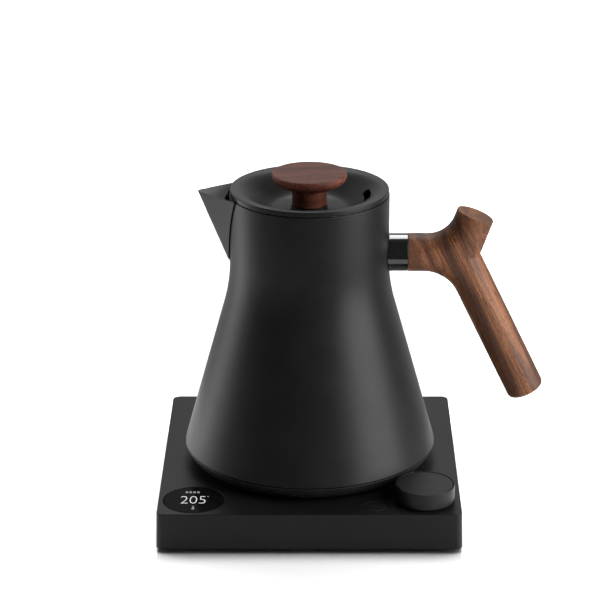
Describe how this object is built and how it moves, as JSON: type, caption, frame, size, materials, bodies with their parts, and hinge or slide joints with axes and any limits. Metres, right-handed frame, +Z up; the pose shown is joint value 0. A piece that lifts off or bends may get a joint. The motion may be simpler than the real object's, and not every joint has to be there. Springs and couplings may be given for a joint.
{
  "type": "electric kettle",
  "caption": "Compact electric kettle: black conical jug with a folded V spout and forked walnut handle, lid with turned wooden knob, on a square base with a round display, a dial and a button.",
  "frame": {"origin": "under the middle of the whole kettle's box, on the surface its four feet stand on", "axes": "+X from the spout towards the handle, +Y away from the controls towards the cord outlet, +Z up"},
  "size_m": [0.2202, 0.171, 0.1959],
  "materials": {
    "coat_black": "matte powder coat with a fine texture",
    "plastic_black": "matte moulded black plastic",
    "display_gloss": "gloss smoked window",
    "ferrule_gloss": "gloss black lacquer over aluminium",
    "walnut": "oiled walnut",
    "steel": "brushed stainless steel",
    "aluminium": "raw aluminium",
    "brass": "plain brass",
    "rubber": "soft black rubber",
    "silicone": "dark grey silicone",
    "circuit_board": "green solder mask",
    "component_dark": "dark grey moulded plastic"
  },
  "bodies": {
    "base": {"base_housing": "coat_black", "base_bottom_cover": "plastic_black", "foot_front_left": "rubber", "foot_front_right": "rubber", "foot_rear_left": "rubber", "foot_rear_right": "rubber", "base_screw_front_left": "steel", "base_screw_front_right": "steel", "base_screw_rear_left": "steel", "base_screw_rear_right": "steel", "power_connector": "plastic_black", "display_lens": "display_gloss", "display_frame": "component_dark", "display_module": "component_dark", "control_board": "circuit_board", "power_board": "circuit_board", "transformer": "component_dark", "relay": "plastic_black", "filter_capacitor": "component_dark", "buzzer": "plastic_black", "encoder_body": "aluminium", "button_switch": "plastic_black", "cord_gland": "rubber"},
    "encoder_rotor": {"encoder_wheel": "brass"},
    "dial": {"dial_cap": "plastic_black", "dial_inlay": "plastic_black", "dial_shaft": "aluminium"},
    "button": {"button_cap": "plastic_black"},
    "jug_coupling": {"jug_connector": "plastic_black", "earth_pin": "brass", "contact_ring": "brass"},
    "jug": {"jug_shell": "coat_black", "spout": "coat_black", "jug_floor": "steel", "heat_spreader": "aluminium", "heating_element": "steel", "jug_bottom_cover": "plastic_black", "cover_screw_1": "steel", "cover_screw_2": "steel", "cover_screw_3": "steel", "temperature_probe": "steel", "probe_seal": "silicone", "boil_dry_cutout_front": "aluminium", "boil_dry_cutout_rear": "aluminium", "handle_ferrule": "ferrule_gloss", "handle_boss": "steel", "handle_rod": "steel", "handle_grip": "walnut"},
    "lid": {"lid_dish": "coat_black", "lid_skirt": "steel", "lid_underplate": "steel", "lid_gasket": "silicone", "lid_spacer": "component_dark", "knob_collar": "plastic_black", "knob": "walnut", "knob_screw": "steel"}
  },
  "joints": [
    {"name": "jug_lift", "type": "slide", "parent": "base", "child": "jug_coupling", "axis": [0, 0, 1], "range_m": [0, 0.06]},
    {"name": "jug_swivel", "type": "hinge", "parent": "jug_coupling", "child": "jug", "pos_m": [-0.02463, 0, 0.03], "axis": [0, 0, 1], "continuous": true},
    {"name": "lid_lift", "type": "slide", "parent": "jug", "child": "lid", "axis": [0, 0, 1], "range_m": [0, 0.05]},
    {"name": "dial_turn", "type": "hinge", "parent": "base", "child": "encoder_rotor", "pos_m": [0.04037, -0.0658, 0.02], "axis": [0, 0, 1], "continuous": true},
    {"name": "dial_press", "type": "slide", "parent": "encoder_rotor", "child": "dial", "axis": [0, 0, -1], "range_m": [0, 0.0006], "stiffness_N_per_m": 2500, "springref_m": -0.0006},
    {"name": "button_press", "type": "slide", "parent": "base", "child": "button", "axis": [0, 0, -1], "range_m": [0, 0.0004], "stiffness_N_per_m": 1500, "springref_m": -0.0005}
  ]
}
